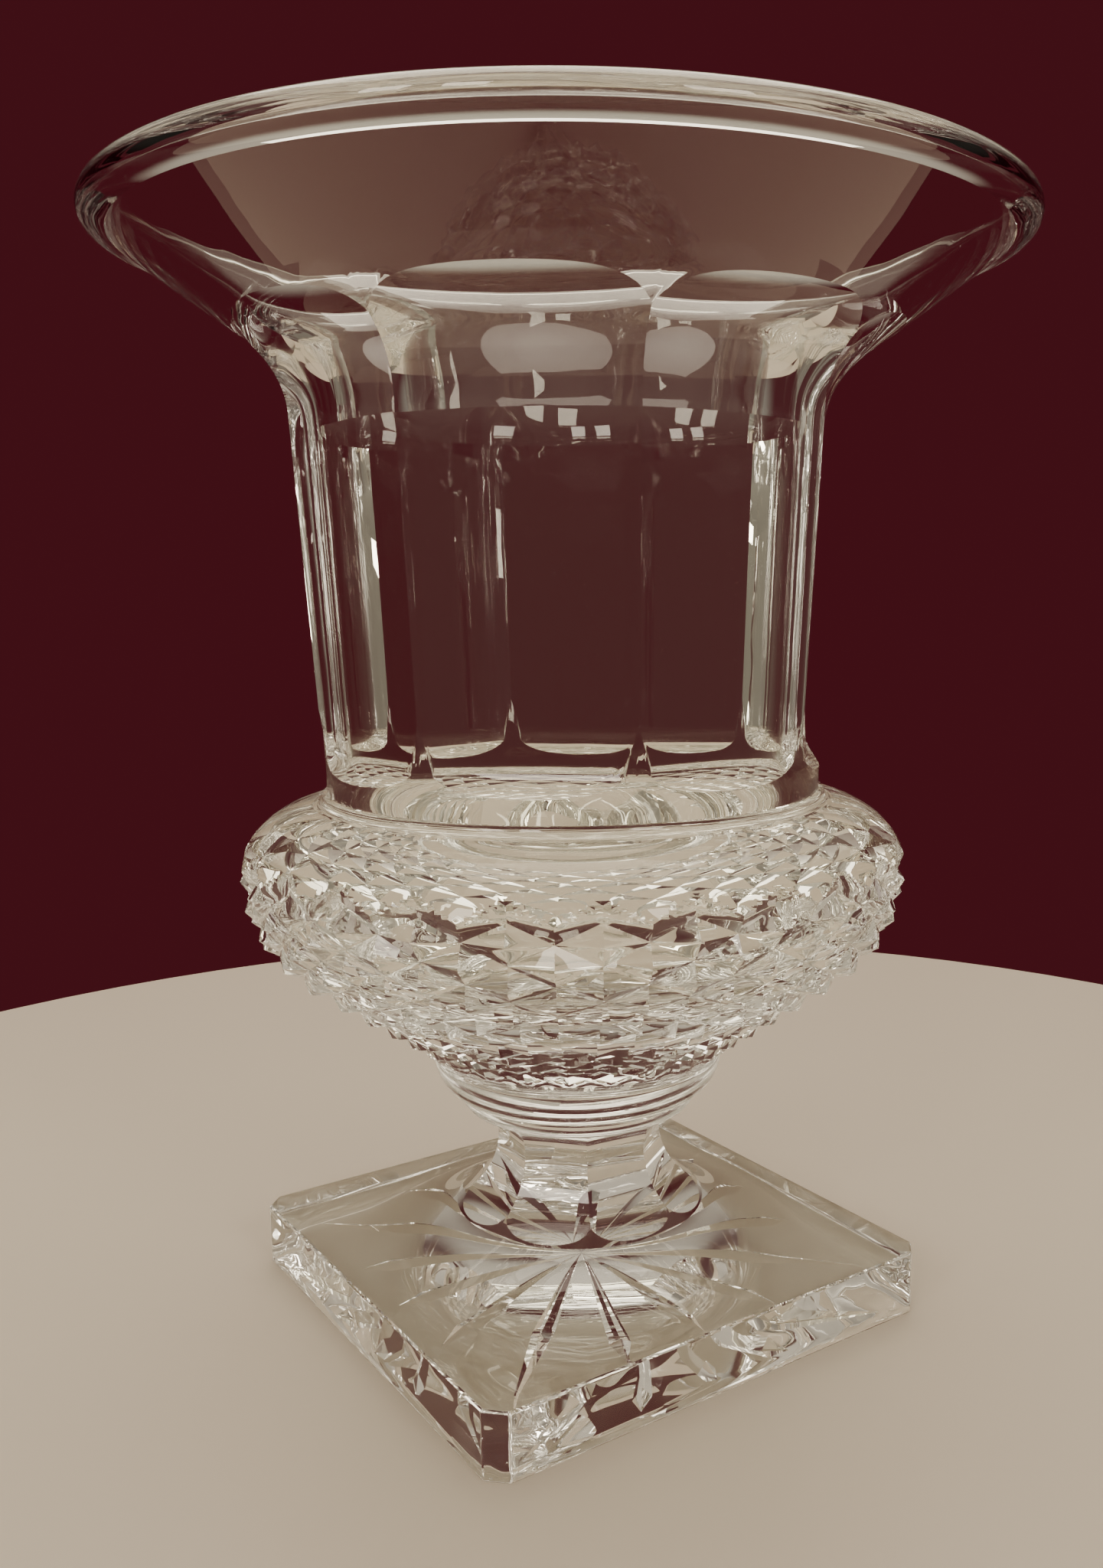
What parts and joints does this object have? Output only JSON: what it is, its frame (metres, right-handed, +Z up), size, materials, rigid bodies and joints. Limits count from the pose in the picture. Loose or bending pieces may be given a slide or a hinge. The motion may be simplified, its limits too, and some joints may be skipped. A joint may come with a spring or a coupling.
{
  "type": "glass vase",
  "caption": "Cut-glass vase in the shape of a footed campana urn, with a flared mouth, panelled neck, diamond-cut bulb, short stem and square foot, for flowers or display.",
  "frame": {"origin": "centre of the underside of the square foot", "axes": "+Z up through the mouth, X and Y square to the sides of the foot"},
  "size_m": [0.2, 0.2, 0.2494],
  "materials": {
    "bowl": "clear polished cut glass",
    "knop_collar": "clear polished glass",
    "stem": "clear polished cut glass",
    "foot": "clear polished cut glass"
  },
  "bodies": {
    "root": {"bowl": "bowl", "knop_collar": "knop_collar", "stem": "stem", "foot": "foot"}
  },
  "joints": []
}
